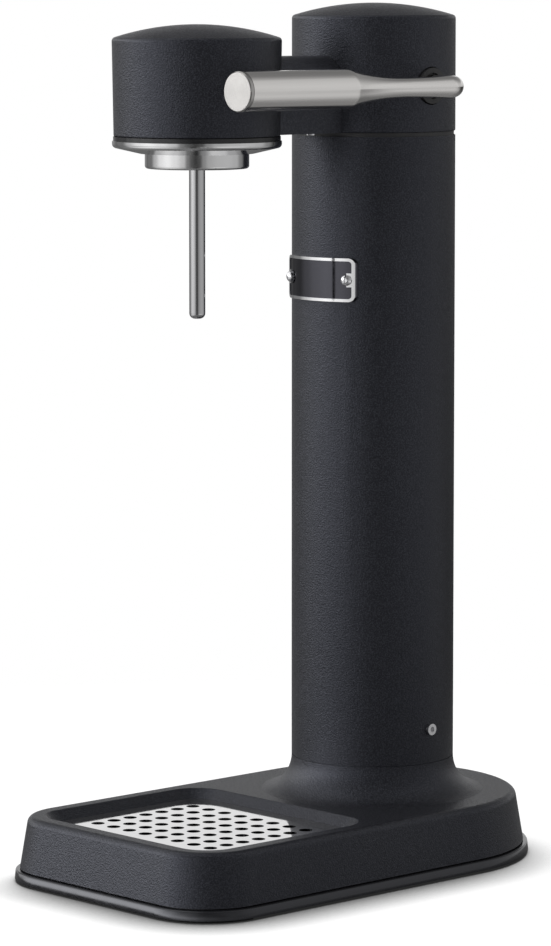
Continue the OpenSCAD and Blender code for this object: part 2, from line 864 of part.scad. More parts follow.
module lever() {
    color("#b4b7bb") difference() {
        union() {
            along_hinge(lever_start) cylinder(r = root_r, h = lever_offset - bend_radius - lever_start);
            translate([lever_offset - bend_radius, column_y - bend_radius, hinge_z])
                rotate_extrude(angle = 90) translate([bend_radius, 0]) circle(r = root_r);
            translate([lever_offset, column_y, hinge_z]) rotate([90, 0, 0])
                rotate_extrude() lever_profile(lever_length);
        }
        along_hinge(ear_outer) cylinder(r = shaft_r + fit, h = lever_offset - bend_radius - ear_outer);
        translate([lever_offset, column_y - lever_length, hinge_z]) rotate([-90, 0, 0])
            cylinder(r = end_stud + fit, h = stud_length + over);
    }
}

module lever_end_cap() {
    color("#b4b7bb") translate([lever_offset, column_y - lever_length, hinge_z]) rotate([-90, 0, 0]) {
        cylinder(r1 = grip_r - end_edge, r2 = grip_r, h = end_edge);
        translate([0, 0, end_edge]) cylinder(r = grip_r, h = cap_thickness - end_edge - end_groove);
        cylinder(r = grip_r - end_edge, h = cap_thickness);
        cylinder(r = end_stud, h = stud_length);
    }
}

// Height at which the wall of a domed cover meets the rounding of its dome
function wall_top(height, dome) =
    height - dome + sqrt(pow(dome - dome_edge, 2) - pow(column_r - dome_edge, 2));

// Half section of a domed cover, from its underside up
module dome_section(radius, height, dome, rounding, draft) {
    dome_centre = height - dome;
    round_r = radius - rounding;
    round_z = wall_top(height, dome);
    foot_r = radius - draft;
    polygon([[0, cover_round], [foot_r, cover_round], [radius, round_z], [0, round_z]]);
    square([foot_r - cover_round, round_z]);
    translate([foot_r - cover_round, cover_round]) circle(r = cover_round);
    translate([round_r, round_z]) circle(r = rounding);
    intersection() {
        square([round_r * dome / (dome - rounding), height]);
        translate([0, dome_centre]) circle(r = dome, $fn = 360);
    }
}

module domed_cover(height, dome, draft) {
    difference() {
        rotate_extrude() dome_section(column_r, height, dome, dome_edge, draft);
        translate([0, 0, -over]) rotate_extrude() intersection() {
            square([column_r - cover_wall, height + over]);
            translate([0, height + over - dome]) circle(r = dome - cover_wall, $fn = 360);
        }
    }
}

module column_cap() {
    color("#232427") at_column() translate([0, 0, head_underside]) difference() {
        domed_cover(cap_height, cap_dome, 0);
        translate([-rail_outer - free, -2 * column_r, -over])
            cube([2 * (rail_outer + free), 2 * column_r, rail_top - head_underside + free + over]);
        translate([0, 0, hinge_rise]) rotate([0, 90, 0]) cylinder(r = hub_r + hub_gap, h = column_diameter);
    }
}

// The space that the bridge fills between the cap and the head
module bridge_span(low, high, clear) {
    difference() {
        translate([0, column_y, 0]) rotate([90, 0, 0]) linear_extrude(head_reach) children();
        at_column() rod(column_r + clear, low - over, high + over);
        at_head() rod(column_r - head_draft + clear, low - over, low + over);
        at_head() translate([0, 0, head_underside]) cylinder(r1 = column_r - head_draft + clear,
            r2 = column_r + clear, h = wall_top(head_height, head_dome));
    }
}

module arch(width, height, rounding) {
    translate([-width / 2, 0]) square([width, height - rounding]);
    translate([-width / 2 + rounding, 0]) square([width - 2 * rounding, height]);
    for (side = [-1, 1]) translate([side * (width / 2 - rounding), height - rounding]) circle(r = rounding);
}

module bridge() {
    color("#232427") bridge_span(head_underside, head_underside + bridge_height, bridge_gap)
        translate([0, head_underside]) difference() {
            arch(bridge_width, bridge_height, bridge_round);
            translate([0, -over]) arch(bridge_width - 2 * cover_wall, bridge_height - cover_wall + over,
                bridge_round - cover_wall);
        }
}

function bridge_screw_place() = [bridge_screw_x, column_y - bridge_screw_h, head_underside];

module bridge_floor() {
    color("#232427") difference() {
        bridge_span(head_underside, head_underside + floor_thickness, bridge_gap)
            translate([-bridge_width / 2 + cover_wall + fit, head_underside])
                square([bridge_width - 2 * cover_wall - 2 * fit, floor_thickness]);
        for (side = [0, 1]) mirror([side, 0, 0]) translate(bridge_screw_place())
            rod(bridge_screw_r + fit, -over, floor_thickness + over);
    }
}

module bridge_screw() {
    color("#c9ccd0") translate(bridge_screw_place()) rotate([180, 0, 0])
        screw(bridge_screw_head, bridge_screw_rise, bridge_screw_r, floor_thickness, bridge_screw_key);
}

module gas_pipe() {
    color("#c08a4a") at_column() translate([0, 0, port_z]) rotate([90, 0, 0])
        tube(pipe_r, pipe_r - pipe_wall, block_boss - pipe_entry, head_reach - block_reach + pipe_entry);
}

module pipe_nut(start) {
    color("#b8923f") at_column() translate([0, -start, port_z]) rotate([90, 0, 0]) difference() {
        cylinder(d = nut_flats / cos(30), h = nut_length, $fn = 6);
        translate([0, 0, -over]) cylinder(r = pipe_r + fit, h = nut_length + 2 * over);
    }
}

module head_shell() {
    color("#232427") at_head() translate([0, 0, head_underside]) difference() {
        domed_cover(head_height, head_dome, head_draft);
        translate([-rail_outer - free, 0, -over])
            cube([2 * (rail_outer + free), 2 * column_r, rail_top - head_underside + free + over]);
    }
}

module head_gasket() {
    outer = column_r - gasket_inset;
    color("#151515") at_head() tube(outer, outer - gasket_width, ring_top, head_underside);
}

module head_screw(index) {
    color("#8d9094") at_head() translate(head_screw_places()[index])
        translate([0, 0, head_underside + head_plate]) screw(head_screw_head, head_screw_rise, screw_r,
            head_plate + gasket_thickness + ring_hole - free, head_screw_key);
}

module head_ring() {
    slope = atan2(ring_cone_drop, column_r - cone_inner);
    edge_r = column_r - ring_round;
    edge_z = cone_bottom + (edge_r - cone_inner) * tan(slope) + ring_round / cos(slope);
    color("#cfd2d6") at_head() difference() {
        rotate_extrude() difference() {
            polygon([[collar_r + fit, ring_top],
                [column_r, ring_top],
                [column_r, ring_wall_bottom],
                [cone_inner, cone_bottom],
                [collar_r + fit, cone_bottom]]);
            difference() {
                polygon([[column_r + over, edge_z],
                    [edge_r, edge_z],
                    [edge_r + 2 * ring_round * sin(slope), edge_z - 2 * ring_round * cos(slope)],
                    [column_r + over, cone_bottom]]);
                translate([edge_r, edge_z]) circle(r = ring_round);
            }
        }
        for (place = head_screw_places()) translate(place)
            rod(screw_r + fit, ring_top - ring_hole, ring_top + over);
    }
}

module bottle_collar() {
    bore = collar_bore / 2;
    bottom = head_underside - collar_drop;
    color("#cfd2d6") at_head() difference() {
        rotate_extrude() {
            translate([bore, bottom + collar_round])
                square([collar_r - bore, collar_top - bottom - collar_round]);
            translate([bore, bottom]) square([collar_r - collar_round - bore, collar_top - bottom]);
            translate([collar_r - collar_round, bottom + collar_round]) circle(r = collar_round);
        }
        translate([0, 0, bottom - over])
            cylinder(r1 = bore + collar_chamfer, r2 = bore, h = collar_chamfer + over);
    }
}

module bottle_seal() {
    color("#202020") at_head() tube(collar_r - free, nozzle_r + free / 2, collar_top, ring_top);
}

module nozzle_block() {
    color("#b8923f") at_head() difference() {
        rod(block_reach, ring_top, nozzle_block_top);
        rod(nozzle_r + fit, ring_top - over, head_underside + over);
        rod(block_bore, head_underside, nozzle_block_top + over);
        translate([0, 0, port_z]) rotate([-90, 0, 0]) cylinder(r = pipe_r + fit, h = block_reach + over);
    }
}

module nozzle_tube() {
    low = nozzle_bottom + nozzle_round;
    color("#cfd2d6") at_head() difference() {
        rotate_extrude() {
            translate([0, nozzle_bottom]) square([nozzle_r - nozzle_round, nozzle_round]);
            translate([0, low]) square([nozzle_r, head_underside + over - low]);
            intersection() {
                translate([nozzle_r - nozzle_round, low]) circle(r = nozzle_round);
                translate([nozzle_r - nozzle_round, nozzle_bottom]) square(nozzle_round);
            }
        }
        rod(nozzle_jet, nozzle_bottom - over, nozzle_bottom + jet_length);
        rod(nozzle_bore, nozzle_bottom + jet_length - over, head_underside + 2 * over);
    }
}

module relief_body() {
    color("#b8923f") at_head() difference() {
        rod(relief_r, nozzle_block_top, relief_top);
        rod(relief_vent, nozzle_block_top - over, relief_top + over);
        rod(relief_bore, relief_seat, relief_cover);
    }
}

module relief_poppet() {
    color("#d0d2d5") at_head() {
        rod(poppet_r, relief_seat, relief_seat + poppet_height);
        rod(poppet_stem, relief_seat + poppet_height - over, relief_seat + poppet_height + stem_length);
    }
}

module relief_spring() {
    color("#a9adb1") at_head() tube(relief_spring_r, relief_spring_r - relief_spring_wire,
        relief_seat + poppet_height, relief_cover);
}

front_foot();
rear_foot();
base_plate();
base_screw(0);  // base_screw_1
base_screw(1);  // base_screw_2
base_screw(2);  // base_screw_3
base_screw(3);  // base_screw_4
base_shell();
drip_tray();
drip_grille();
column_socket();
column_tube();
column_screw(-1);  // column_screw_left
column_screw(1);  // column_screw_right
nameplate();
nameplate_screw(-1);  // nameplate_screw_left
nameplate_screw(1);  // nameplate_screw_right
gas_cylinder();
cylinder_valve();
valve_pin();
valve_block();
valve_seal();
plunger();
plunger_seal();
gland_washer();
plunger_spring();
chassis();
bush(-1);  // bush_left
bush(1);  // bush_right
hub_bush();
lever_shaft();
cam();
cam_pin();
shaft_clip();
lever();
lever_end_cap();
column_cap();
bridge();
bridge_floor();
mirror([1, 0, 0]) bridge_screw();  // bridge_screw_left
bridge_screw();  // bridge_screw_right
gas_pipe();
pipe_nut(block_boss);  // pipe_nut_rear
pipe_nut(head_reach - block_reach - 5);  // pipe_nut_front
head_shell();
head_gasket();
head_screw(0);  // head_screw_1
head_screw(1);  // head_screw_2
head_screw(2);  // head_screw_3
head_ring();
bottle_collar();
bottle_seal();
nozzle_block();
nozzle_tube();
relief_body();
relief_poppet();
relief_spring();
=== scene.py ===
import math

import bpy
import numpy as np
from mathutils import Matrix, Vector


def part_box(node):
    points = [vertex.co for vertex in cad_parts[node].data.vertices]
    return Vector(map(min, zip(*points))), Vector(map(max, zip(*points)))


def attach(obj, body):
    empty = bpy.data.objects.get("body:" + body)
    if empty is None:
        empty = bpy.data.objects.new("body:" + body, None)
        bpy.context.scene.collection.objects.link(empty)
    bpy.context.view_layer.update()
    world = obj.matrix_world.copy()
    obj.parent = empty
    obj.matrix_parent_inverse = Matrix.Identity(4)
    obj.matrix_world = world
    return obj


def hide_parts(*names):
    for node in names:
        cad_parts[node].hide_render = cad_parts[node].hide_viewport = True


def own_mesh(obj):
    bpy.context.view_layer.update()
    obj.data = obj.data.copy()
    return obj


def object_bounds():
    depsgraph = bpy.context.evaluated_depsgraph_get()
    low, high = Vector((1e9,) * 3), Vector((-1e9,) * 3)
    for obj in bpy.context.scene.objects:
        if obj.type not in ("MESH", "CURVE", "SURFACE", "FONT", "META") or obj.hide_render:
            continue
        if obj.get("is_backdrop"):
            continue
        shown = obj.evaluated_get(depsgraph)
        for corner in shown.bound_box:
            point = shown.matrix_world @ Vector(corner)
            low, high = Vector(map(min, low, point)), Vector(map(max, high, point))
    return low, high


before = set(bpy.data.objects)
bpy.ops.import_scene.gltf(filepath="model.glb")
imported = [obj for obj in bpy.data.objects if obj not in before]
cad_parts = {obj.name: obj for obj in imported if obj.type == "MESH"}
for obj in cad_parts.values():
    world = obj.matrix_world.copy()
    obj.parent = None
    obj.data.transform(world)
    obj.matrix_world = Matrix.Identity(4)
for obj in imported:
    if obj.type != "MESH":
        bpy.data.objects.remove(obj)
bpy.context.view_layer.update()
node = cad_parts


# Powder-coated covers: the cast base, the drip tray, the column tube, the cap, the bridge and the head.
# The coat is a fine-textured matte black; the light its grains catch is painted into its colour as a bluish
# grey speckle.
def new_material(name, metallic):
    """A node material with one surface shader; returns the material, its tree and that shader."""
    made = bpy.data.materials.new(name)
    made.use_nodes = True
    tree = made.node_tree
    shader = tree.nodes["Principled BSDF"]
    shader.inputs["Metallic"].default_value = metallic
    return made, tree, shader


def place(tree):
    """The object's own coordinates, in metres."""
    return tree.nodes.new("ShaderNodeTexCoord").outputs["Object"]


def noise(tree, scale, detail, stretch=(1, 1, 1)):
    """Noise in the object's own coordinates, in features per metre, stretched along the axes."""
    shape = tree.nodes.new("ShaderNodeMapping")
    shape.inputs["Scale"].default_value = stretch
    grain = tree.nodes.new("ShaderNodeTexNoise")
    grain.inputs["Scale"].default_value = scale
    grain.inputs["Detail"].default_value = detail
    tree.links.new(place(tree), shape.inputs["Vector"])
    tree.links.new(shape.outputs["Vector"], grain.inputs["Vector"])
    return grain.outputs["Fac"]


def spread(tree, value, low, high, start=0.3, end=0.7):
    """Maps a pattern, from where it is start to where it is end, onto a range of values."""
    ramp = tree.nodes.new("ShaderNodeMapRange")
    ramp.inputs["From Min"].default_value = start
    ramp.inputs["From Max"].default_value = end
    ramp.inputs["To Min"].default_value = low
    ramp.inputs["To Max"].default_value = high
    tree.links.new(value, ramp.inputs["Value"])
    return ramp.outputs["Result"]


def tint(tree, value, dark, light):
    """Mixes two colours, each fixed or itself a pattern, by a 0 to 1 pattern."""
    mix = tree.nodes.new("ShaderNodeMix")
    mix.data_type = "RGBA"
    tree.links.new(value, mix.inputs["Factor"])
    for side, color in (("A", dark), ("B", light)):
        if isinstance(color, tuple):
            mix.inputs[side].default_value = (*color, 1)
        else:
            tree.links.new(color, mix.inputs[side])
    return mix.outputs["Result"]


def vector(tree, operation, first, second=(0, 0, 0)):
    """One vector operation on a pattern; its second side is fixed or itself a pattern."""
    step = tree.nodes.new("ShaderNodeVectorMath")
    step.operation = operation
    tree.links.new(first, step.inputs[0])
    if isinstance(second, tuple):
        step.inputs[1].default_value = second
    else:
        tree.links.new(second, step.inputs[1])
    return step.outputs


def both(tree, operation, first, second):
    """One number from two patterns, such as their product or the larger of them."""
    step = tree.nodes.new("ShaderNodeMath")
    step.operation = operation
    tree.links.new(first, step.inputs[0])
    tree.links.new(second, step.inputs[1])
    return step.outputs["Value"]


def edge_wear_and_highlight(tree, reach):
    """0 on open faces and up to 1 on edges: how far the normal turns when edges are rounded by a reach."""
    rounded = tree.nodes.new("ShaderNodeBevel")
    rounded.samples = 4
    rounded.inputs["Radius"].default_value = reach
    face = tree.nodes.new("ShaderNodeNewGeometry")
    agree = vector(tree, "DOT_PRODUCT", rounded.outputs["Normal"], face.outputs["Normal"])
    return spread(tree, agree["Value"], 1, 0, start=0.7, end=0.98)


def coat(tree, shader, roughness, color):
    """Gives the surface its patterns of roughness and colour."""
    tree.links.new(roughness, shader.inputs["Roughness"])
    tree.links.new(color, shader.inputs["Base Color"])


def bump(tree, shader, height, strength, depth):
    """Raises a pattern on the surface by a depth in metres."""
    raised = tree.nodes.new("ShaderNodeBump")
    raised.inputs["Strength"].default_value = strength
    raised.inputs["Distance"].default_value = depth
    tree.links.new(height, raised.inputs["Height"])
    tree.links.new(raised.outputs["Normal"], shader.inputs["Normal"])


def dress(material, *names):
    """Gives CAD nodes one material."""
    for name in names:
        mesh = node[name].data
        mesh.materials.clear()
        mesh.materials.append(material)


powder, tree, shader = new_material("powder_black", metallic=0)
shader.inputs["Specular Tint"].default_value = (0.79, 0.83, 1.0, 1)
grains = spread(tree, noise(tree, scale=1700, detail=1), 0, 1, start=0.42, end=0.68)
# Painted glints: a bluish grey speckle in the colour stands for the light the coat's grains catch.
painted_grain_glints = tint(tree, grains, dark=(0.005, 0.005, 0.006), light=(0.028, 0.029, 0.034))
patches = spread(tree, noise(tree, scale=240, detail=3), 0, 0.7, start=0.42, end=0.68)
# Edges are painted lighter in patches: partly rubbed wear, partly a painted highlight along them.
wear_and_highlight = both(tree, "MULTIPLY", edge_wear_and_highlight(tree, reach=0.0006), patches)
coat(tree, shader,
     roughness=spread(tree, noise(tree, scale=1000, detail=2), 0.31, 0.43),
     color=tint(tree, wear_and_highlight, dark=painted_grain_glints, light=(0.036, 0.037, 0.042)))
bump(tree, shader, noise(tree, scale=1450, detail=1), strength=0.6, depth=0.00032)
dress(powder, "base_shell", "drip_tray", "column_tube", "column_cap", "bridge", "bridge_floor",
      "head_shell")


# Bottom plate, feet and seals: a glossy black moulding with a faint haze, on dull, mottled rubber pads.
# The rim's face swells a little: it falls back by the cube of the height, from low on the rim.
# The gasket under the head is a moulding too, and the seals are of the same rubber as the pads.
def part_of(tree, value, axis):
    """One of the three numbers of a vector."""
    split = tree.nodes.new("ShaderNodeSeparateXYZ")
    tree.links.new(value, split.inputs["Vector"])
    return split.outputs[axis]


def mottled(name, metallic, roughness, grain, dark, light, clouds):
    """A material whose roughness wanders over a range with its grain, and its colour with its clouds; both
    are noise, given by scale and detail."""
    made, tree, shader = new_material(name, metallic)
    coat(tree, shader,
         roughness=spread(tree, noise(tree, *grain), *roughness),
         color=tint(tree, noise(tree, *clouds), dark, light))
    return made


moulded, tree, shader = new_material("plate_black", metallic=0)
shader.inputs["Specular IOR Level"].default_value = 0.75
shader.inputs["Specular Tint"].default_value = (0.90, 0.92, 1.0, 1)
haze = tint(tree, noise(tree, scale=90, detail=2), dark=(0.007, 0.007, 0.008), light=(0.012, 0.012, 0.014))
# The edges are painted lighter here and there: partly rubbed wear, partly a painted highlight along them.
wear_and_highlight = both(tree, "MULTIPLY", edge_wear_and_highlight(tree, reach=0.0004), noise(tree, scale=300, detail=3))
coat(tree, shader,
     roughness=spread(tree, noise(tree, scale=260, detail=3), 0.09, 0.17),
     color=tint(tree, wear_and_highlight, dark=haze, light=(0.03, 0.03, 0.033)))
swell_foot = 0.0008
rim_top = 0.0058
rise = spread(tree, part_of(tree, place(tree), "Z"), 0, 1, swell_foot, rim_top)
cube = both(tree, "MULTIPLY", rise, both(tree, "MULTIPLY", rise, rise))
bump(tree, shader, cube, strength=1.0, depth=-0.0007)
dress(moulded, "base_plate")
seal = mottled("gasket_black", metallic=0, roughness=(0.10, 0.20), grain=(260, 3),
               dark=(0.010, 0.010, 0.011), light=(0.016, 0.016, 0.018), clouds=(90, 2))
dress(seal, "head_gasket")
rubber, tree, shader = new_material("rubber_black", metallic=0)
shader.inputs["Roughness"].default_value = 0.8
clouds = noise(tree, scale=400, detail=3)
mottle = tint(tree, clouds, dark=(0.010, 0.010, 0.010), light=(0.024, 0.024, 0.025))
tree.links.new(mottle, shader.inputs["Base Color"])
bump(tree, shader, noise(tree, scale=1500, detail=2), strength=0.2, depth=0.0002)
dress(rubber, "front_foot", "rear_foot", "valve_seal", "plunger_seal", "bottle_seal")

# Polished steel: the drip grille, and the ring and the collar under the head, a bright metal whose gloss
# is faintly clouded. The nozzle is a darker drawn tube, marked along its length.
polish = mottled("steel_polished", metallic=1, roughness=(0.03, 0.08), grain=(300, 4),
                 dark=(0.68, 0.68, 0.69), light=(0.76, 0.76, 0.76), clouds=(60, 2))
dress(polish, "drip_grille", "head_ring", "bottle_collar")
drawn, tree, shader = new_material("steel_drawn", metallic=1)
marks = noise(tree, scale=1200, detail=2, stretch=(1, 1, 0.03))
coat(tree, shader,
     roughness=spread(tree, marks, 0.05, 0.11),
     color=tint(tree, marks, dark=(0.51, 0.51, 0.52), light=(0.60, 0.60, 0.61)))
dress(drawn, "nozzle_tube")

# Nameplate: a bare curved plate with a bright raised border and a dark glossy sunk field.
# The field is found by its smaller distance from the column's axis. The dark also covers a round pad at
# each screw, out to the bright upright at the plate's end.
column_low, column_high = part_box("column_tube")
plate_low, plate_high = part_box("nameplate")
column_axis_y = (column_low[1] + column_high[1]) / 2
plate_middle_z = (plate_low[2] + plate_high[2]) / 2
field_depth = 0.0004
field_radius = column_axis_y - plate_low[1] - field_depth / 2
field_fade = 0.00004
pad_x = 0.0183
pad_radius = 0.0036
pad_fade = 0.0001
upright_x = 0.0190
upright_fade = 0.0002
plate, tree, shader = new_material("nameplate_steel", metallic=1)
from_axis = vector(tree, "SUBTRACT", place(tree), (0, column_axis_y, 0))["Vector"]
flat = vector(tree, "MULTIPLY", from_axis, (1, 1, 0))["Vector"]
distance = vector(tree, "LENGTH", flat)["Value"]
border = spread(tree, distance, 0, 1, field_radius - field_fade, field_radius + field_fade)
either_side = vector(tree, "ABSOLUTE", place(tree))["Vector"]
facing = vector(tree, "MULTIPLY", either_side, (1, 0, 1))["Vector"]
from_pad = vector(tree, "DISTANCE", facing, (pad_x, 0, plate_middle_z))["Value"]
off_pad = spread(tree, from_pad, 0, 1, pad_radius, pad_radius + pad_fade)
upright = spread(tree, part_of(tree, facing, "X"), 0, 1, upright_x, upright_x + upright_fade)
bare = both(tree, "MULTIPLY", border, both(tree, "MAXIMUM", off_pad, upright))
coat(tree, shader,
     roughness=spread(tree, noise(tree, scale=500, detail=3), 0.05, 0.12),
     color=tint(tree, bare, dark=(0.085, 0.085, 0.098), light=(0.92, 0.92, 0.93)))
dress(plate, "nameplate")

# Screws and small steel pieces of the valve train: bright steel.
# Their gloss and tone vary from spot to spot, as on barrel-polished fasteners.
bright = mottled("screw_steel", metallic=1, roughness=(0.14, 0.28), grain=(900, 3),
                 dark=(0.74, 0.74, 0.76), light=(0.86, 0.86, 0.88), clouds=(500, 2))
dress(bright, "column_screw_left", "column_screw_right", "nameplate_screw_left", "nameplate_screw_right",
      "bridge_screw_left", "bridge_screw_right",
      "base_screw_1", "base_screw_2", "base_screw_3", "base_screw_4",
      "head_screw_1", "head_screw_2", "head_screw_3",
      "valve_pin", "plunger", "relief_poppet", "cam", "cam_pin", "shaft_clip", "lever_shaft")


# Springs: one under the plunger's head and one over the relief poppet, wound from round bright wire.
# Each coil fills the room of the plain tube that stands for it in the CAD, on the tube's own ends.
def coil(name, turns, wire):
    """Wire wound in a tube's room. At angle a its middle is (R cos a, R sin a, z), with z rising evenly by
    the tube's height less one wire. Its skin is that middle + r (cos b outward + sin b up), where outward
    is (cos a, sin a, 0), up is square to outward and to the wire, and b goes once round."""
    rings_in_turn = 24
    sides = 12
    rings = rings_in_turn * turns + 1
    low, high = (np.array(corner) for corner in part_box(name))
    radius = (high[0] - low[0] - wire) / 2
    rise = high[2] - low[2] - wire
    angle = np.linspace(0, 2 * np.pi * turns, rings)
    outward = np.c_[np.cos(angle), np.sin(angle), 0 * angle]
    along = np.c_[-np.sin(angle), np.cos(angle), 0 * angle + rise / (2 * np.pi * turns * radius)]
    up = np.cross(outward, along / np.linalg.norm(along[0]))
    foot = np.array([(low[0] + high[0]) / 2, (low[1] + high[1]) / 2, low[2] + wire / 2])
    middle = foot + radius * outward + np.c_[0 * angle, 0 * angle, rise * angle / angle[-1]]
    about = np.linspace(0, 2 * np.pi, sides, endpoint=False)[None, :, None]
    spoke = np.cos(about) * outward[:, None] + np.sin(about) * up[:, None]
    skin = middle[:, None] + wire / 2 * spoke
    ring, side = np.divmod(np.arange((rings - 1) * sides), sides)
    here = ring * sides
    after = here + sides
    beside = (side + 1) % sides
    walls = np.c_[here + side, after + side, after + beside, here + beside]
    first = np.arange(sides)
    last = first[::-1] + (rings - 1) * sides
    mesh = bpy.data.meshes.new(name + "_coil")
    mesh.from_pydata(skin.reshape(-1, 3).tolist(), [], walls.tolist() + [first.tolist(), last.tolist()])
    mesh.polygons.foreach_set("use_smooth", [True] * len(walls) + [False, False])
    mesh.materials.append(bright)
    piece = bpy.data.objects.new(name + "_coil", mesh)
    bpy.context.scene.collection.objects.link(piece)
    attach(piece, "frame")
    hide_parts(name)
    return piece, low, high


piece, low, high = coil("plunger_spring", turns=3, wire=0.0014)
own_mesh(piece)
piece, low, high = coil("relief_spring", turns=3, wire=0.0016)
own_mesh(piece)

# Lever: brushed stainless steel, finely rubbed along its length, with an end cap faced in a lathe.
# The hub in the side of the cap is a satin black bush.
brushed, tree, shader = new_material("steel_brushed", metallic=1)
lines = noise(tree, scale=1600, detail=3, stretch=(1, 0.02, 1))
coat(tree, shader,
     roughness=spread(tree, lines, 0.12, 0.18),
     color=tint(tree, lines, dark=(0.87, 0.85, 0.83), light=(0.93, 0.91, 0.89)))
bump(tree, shader, lines, strength=0.05, depth=0.00005)
dress(brushed, "lever")
faced, tree, shader = new_material("steel_faced", metallic=1)
cap_low, cap_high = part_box("lever_end_cap")
middle = tree.nodes.new("ShaderNodeMapping")
middle.inputs["Location"].default_value = [-(low + high) / 2 for low, high in zip(cap_low, cap_high)]
turned = tree.nodes.new("ShaderNodeTexWave")
turned.wave_type = "RINGS"
turned.rings_direction = "Y"
turned.inputs["Scale"].default_value = 700
turned.inputs["Distortion"].default_value = 0.6
turned.inputs["Detail"].default_value = 2
tree.links.new(place(tree), middle.inputs["Vector"])
tree.links.new(middle.outputs["Vector"], turned.inputs["Vector"])
cuts = turned.outputs["Fac"]
# The end cap's steel is darker than the lever's: painted shade; the rings in it are the turning marks.
coat(tree, shader,
     roughness=spread(tree, cuts, 0.20, 0.30, start=0, end=1),
     color=tint(tree, cuts, dark=(0.39, 0.38, 0.37), light=(0.48, 0.47, 0.46)))
bump(tree, shader, cuts, strength=0.3, depth=0.00003)
dress(faced, "lever_end_cap")
satin = mottled("bush_black", metallic=0, roughness=(0.38, 0.55), grain=(900, 2),
                dark=(0.014, 0.014, 0.015), light=(0.024, 0.024, 0.026), clouds=(300, 2))
dress(satin, "hub_bush")

# Inner frame and gas fittings: bare and black anodised alloy, brass, a copper pipe, the painted cylinder.
# Only the thin seam under the cap shows from outside.
alloy = mottled("frame_alloy", metallic=1, roughness=(0.25, 0.42), grain=(700, 3),
                dark=(0.56, 0.57, 0.59), light=(0.66, 0.67, 0.69), clouds=(200, 2))
dress(alloy, "column_socket")
anodised = mottled("frame_black", metallic=0, roughness=(0.32, 0.5), grain=(700, 3),
                   dark=(0.012, 0.012, 0.013), light=(0.026, 0.026, 0.028), clouds=(200, 2))
dress(anodised, "chassis")
brass = mottled("brass_bare", metallic=1, roughness=(0.22, 0.4), grain=(700, 3),
                dark=(0.60, 0.43, 0.17), light=(0.74, 0.56, 0.26), clouds=(200, 2))
dress(brass, "cylinder_valve", "valve_block", "gland_washer", "bush_left", "bush_right", "pipe_nut_rear",
      "pipe_nut_front", "nozzle_block", "relief_body")
copper = mottled("copper_pipe", metallic=1, roughness=(0.22, 0.4), grain=(600, 3),
                 dark=(0.62, 0.36, 0.22), light=(0.78, 0.52, 0.34), clouds=(150, 3))
dress(copper, "gas_pipe")
grey = mottled("cylinder_grey", metallic=0, roughness=(0.3, 0.42), grain=(300, 3),
               dark=(0.36, 0.37, 0.39), light=(0.44, 0.45, 0.47), clouds=(80, 3))
dress(grey, "gas_cylinder")

# Floor: a plain white disc under the machine that takes the lamps' shadow and fades out into the white.
# Its colour and its glow are darkened by ambient occlusion where the machine stands close over it, looking
# up and back: a painted shadow that leans to the front. Only the camera sees its glow, and its rim is
# clear.
floor_radius = 1.6
floor_sides = 96
fade_start = 0.3
fade_end = 0.55
shadow_reach = 0.036
up_and_back = (-0.52, 0.48, 0.71)
turn = np.arange(floor_sides) * 2 * math.pi / floor_sides
ring = np.c_[floor_radius * np.cos(turn), floor_radius * np.sin(turn), np.zeros(floor_sides)]
mesh = bpy.data.meshes.new("floor")
mesh.from_pydata(np.vstack([[[0, 0, 0]], ring]).tolist(), [],
                 [(0, 1 + i, 1 + (i + 1) % floor_sides) for i in range(floor_sides)])
floor = bpy.data.objects.new("floor", mesh)
bpy.context.scene.collection.objects.link(floor)
white, tree, shader = new_material("floor_white", metallic=0)
shader.inputs["Roughness"].default_value = 0.9
shader.inputs["Specular IOR Level"].default_value = 0
near = tree.nodes.new("ShaderNodeAmbientOcclusion")
near.samples = 16
near.inputs["Distance"].default_value = shadow_reach
lean = tree.nodes.new("ShaderNodeCombineXYZ")
for axis, share in zip("XYZ", up_and_back):
    lean.inputs[axis].default_value = share
tree.links.new(lean.outputs["Vector"], near.inputs["Normal"])
# Painted shadow: the ambient occlusion darkens both the floor's colour and its glow.
open_sky = spread(tree, near.outputs["AO"], 0, 1, start=0.42, end=0.90)
painted_shadow_color = tint(tree, open_sky, dark=(0.05, 0.05, 0.05), light=(0.21, 0.21, 0.21))
painted_shadow_glow = tint(tree, open_sky, dark=(0.02, 0.02, 0.02), light=(0.88, 0.88, 0.88))
seen = tree.nodes.new("ShaderNodeLightPath")
outwards = vector(tree, "LENGTH", place(tree))["Value"]
tree.links.new(painted_shadow_color, shader.inputs["Base Color"])
tree.links.new(painted_shadow_glow, shader.inputs["Emission Color"])
tree.links.new(seen.outputs["Is Camera Ray"], shader.inputs["Emission Strength"])
tree.links.new(spread(tree, outwards, 1, 0, fade_start, fade_end), shader.inputs["Alpha"])
mesh.materials.append(white)
floor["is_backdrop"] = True


# Light: a white tent with a wide bright side on the left, a dimmer one on the right, a dark slot where
# the camera stands, and a back wall that is light in a band above level and dark over and under it.
# The steel mirrors a dim card high on the right, and nothing mirrors the even light from above.
def lamp(name, at, towards, width, height, power, mirrored):
    """A soft rectangular light at a point, turned towards another."""
    light = bpy.data.lights.new(name, "AREA")
    light.shape = "RECTANGLE"
    light.size = width
    light.size_y = height
    light.energy = power
    holder = bpy.data.objects.new(name, light)
    holder.location = at
    holder.rotation_mode = "QUATERNION"
    holder.rotation_quaternion = (Vector(towards) - Vector(at)).to_track_quat("-Z", "Y")
    holder.visible_camera = False
    holder.visible_glossy = mirrored
    bpy.context.scene.collection.objects.link(holder)


